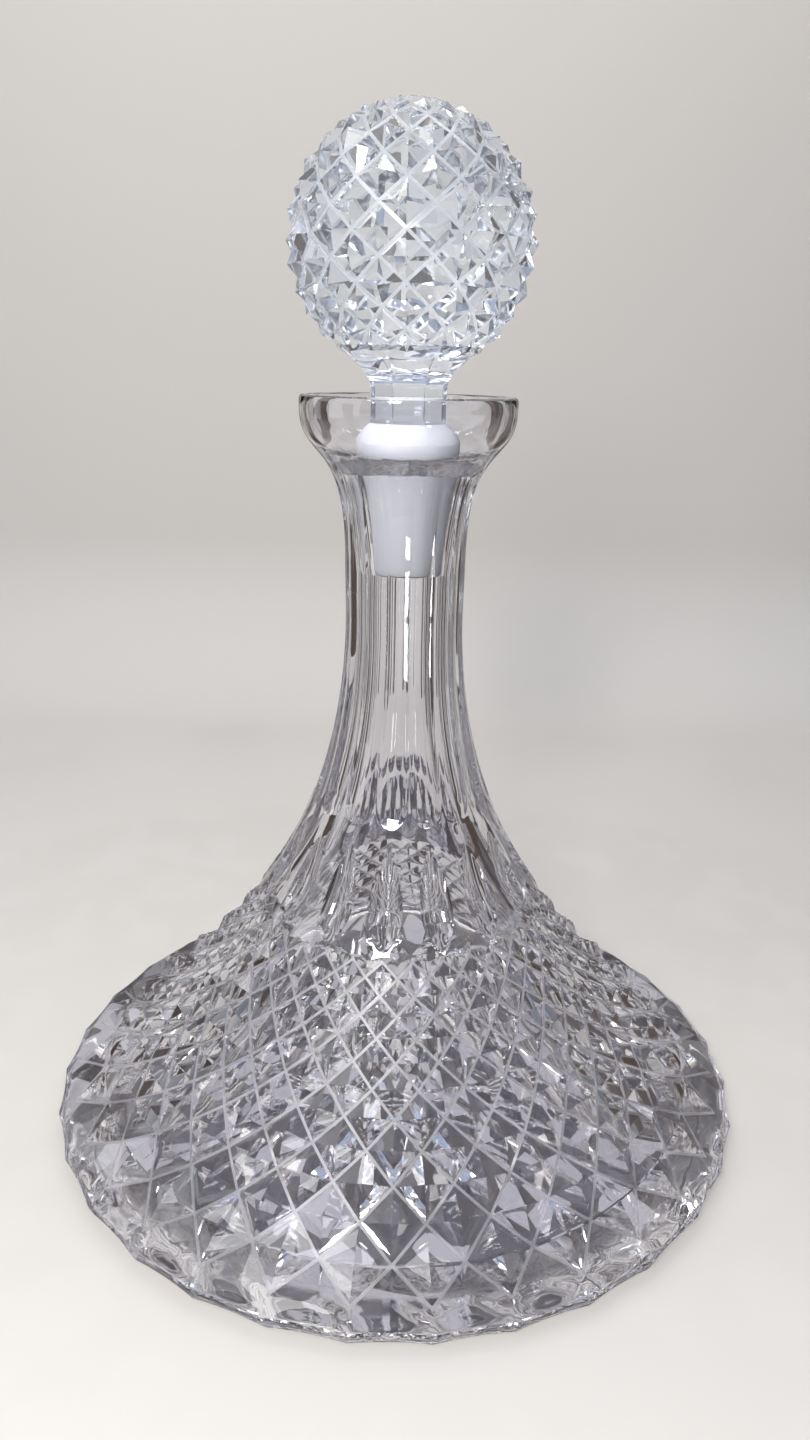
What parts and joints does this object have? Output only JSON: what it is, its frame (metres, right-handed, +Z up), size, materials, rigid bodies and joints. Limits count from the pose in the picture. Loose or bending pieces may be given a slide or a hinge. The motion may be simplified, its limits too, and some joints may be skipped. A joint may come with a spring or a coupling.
{
  "type": "cut crystal ship's decanter",
  "caption": "Wide-based cut crystal decanter with a fluted neck, diamond-cut body, cup lip and a lift-out ball stopper with a ground taper plug.",
  "frame": {"origin": "middle of the flat base", "axes": "+Z up the axis of the bottle and the stopper, which is also the way the stopper lifts; -Y is the front"},
  "size_m": [0.199, 0.199, 0.2665],
  "materials": {
    "clear_crystal": "clear polished lead crystal, cut with flutes and diamonds",
    "stopper_crystal": "clear polished lead crystal, diamond-cut ball, with the taper plug ground matt white"
  },
  "bodies": {
    "bottle_body": {"bottle": "clear_crystal"},
    "stopper_body": {"stopper": "stopper_crystal"}
  },
  "joints": [
    {"name": "stopper_lift", "type": "slide", "parent": "bottle_body", "child": "stopper_body", "axis": [0, 0, 1], "range_m": [0, 0.06]}
  ]
}
